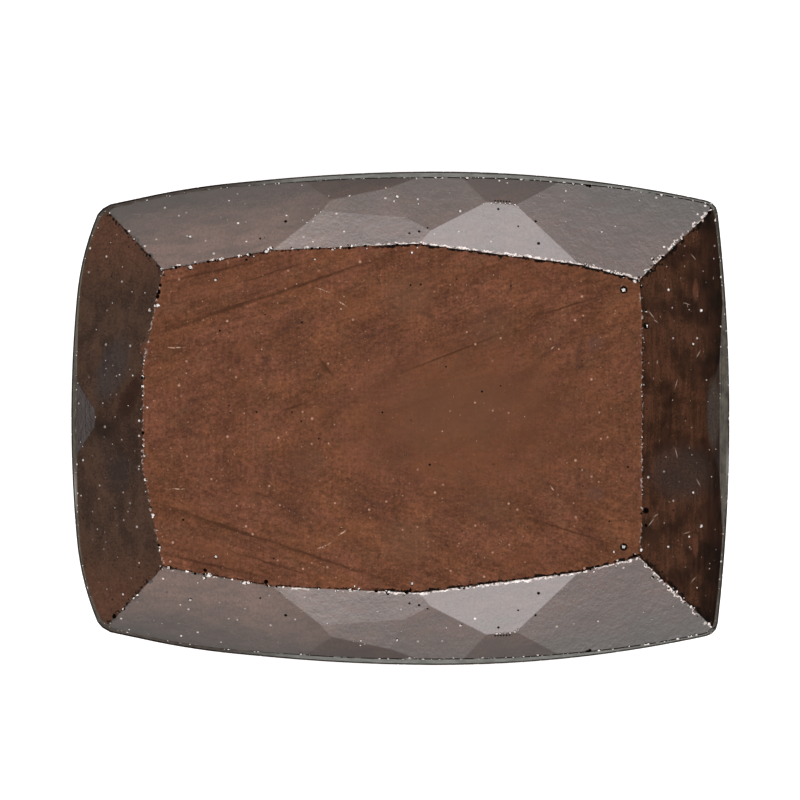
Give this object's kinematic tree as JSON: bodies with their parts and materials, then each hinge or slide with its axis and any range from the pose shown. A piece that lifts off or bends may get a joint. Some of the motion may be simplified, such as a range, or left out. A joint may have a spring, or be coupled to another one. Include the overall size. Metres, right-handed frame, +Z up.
{
  "type": "faceted sapphire",
  "caption": "Loose cushion-cut gemstone of opaque brown sapphire, with a broad flat table, a low faceted crown and a stepped back that ends in a small flat base facet.",
  "frame": {"origin": "centre of the bounding box at its lowest level, on the flat base facet that the stone rests on", "axes": "+X along the stone's long side, towards the end with the straight table edge; +Y across the stone, which is symmetric about the XZ plane; +Z up, out of the table"},
  "size_m": [0.008, 0.006, 0.0033],
  "materials": {
    "sapphire": "polished"
  },
  "bodies": {
    "root": {"sapphire": "sapphire"}
  },
  "joints": []
}
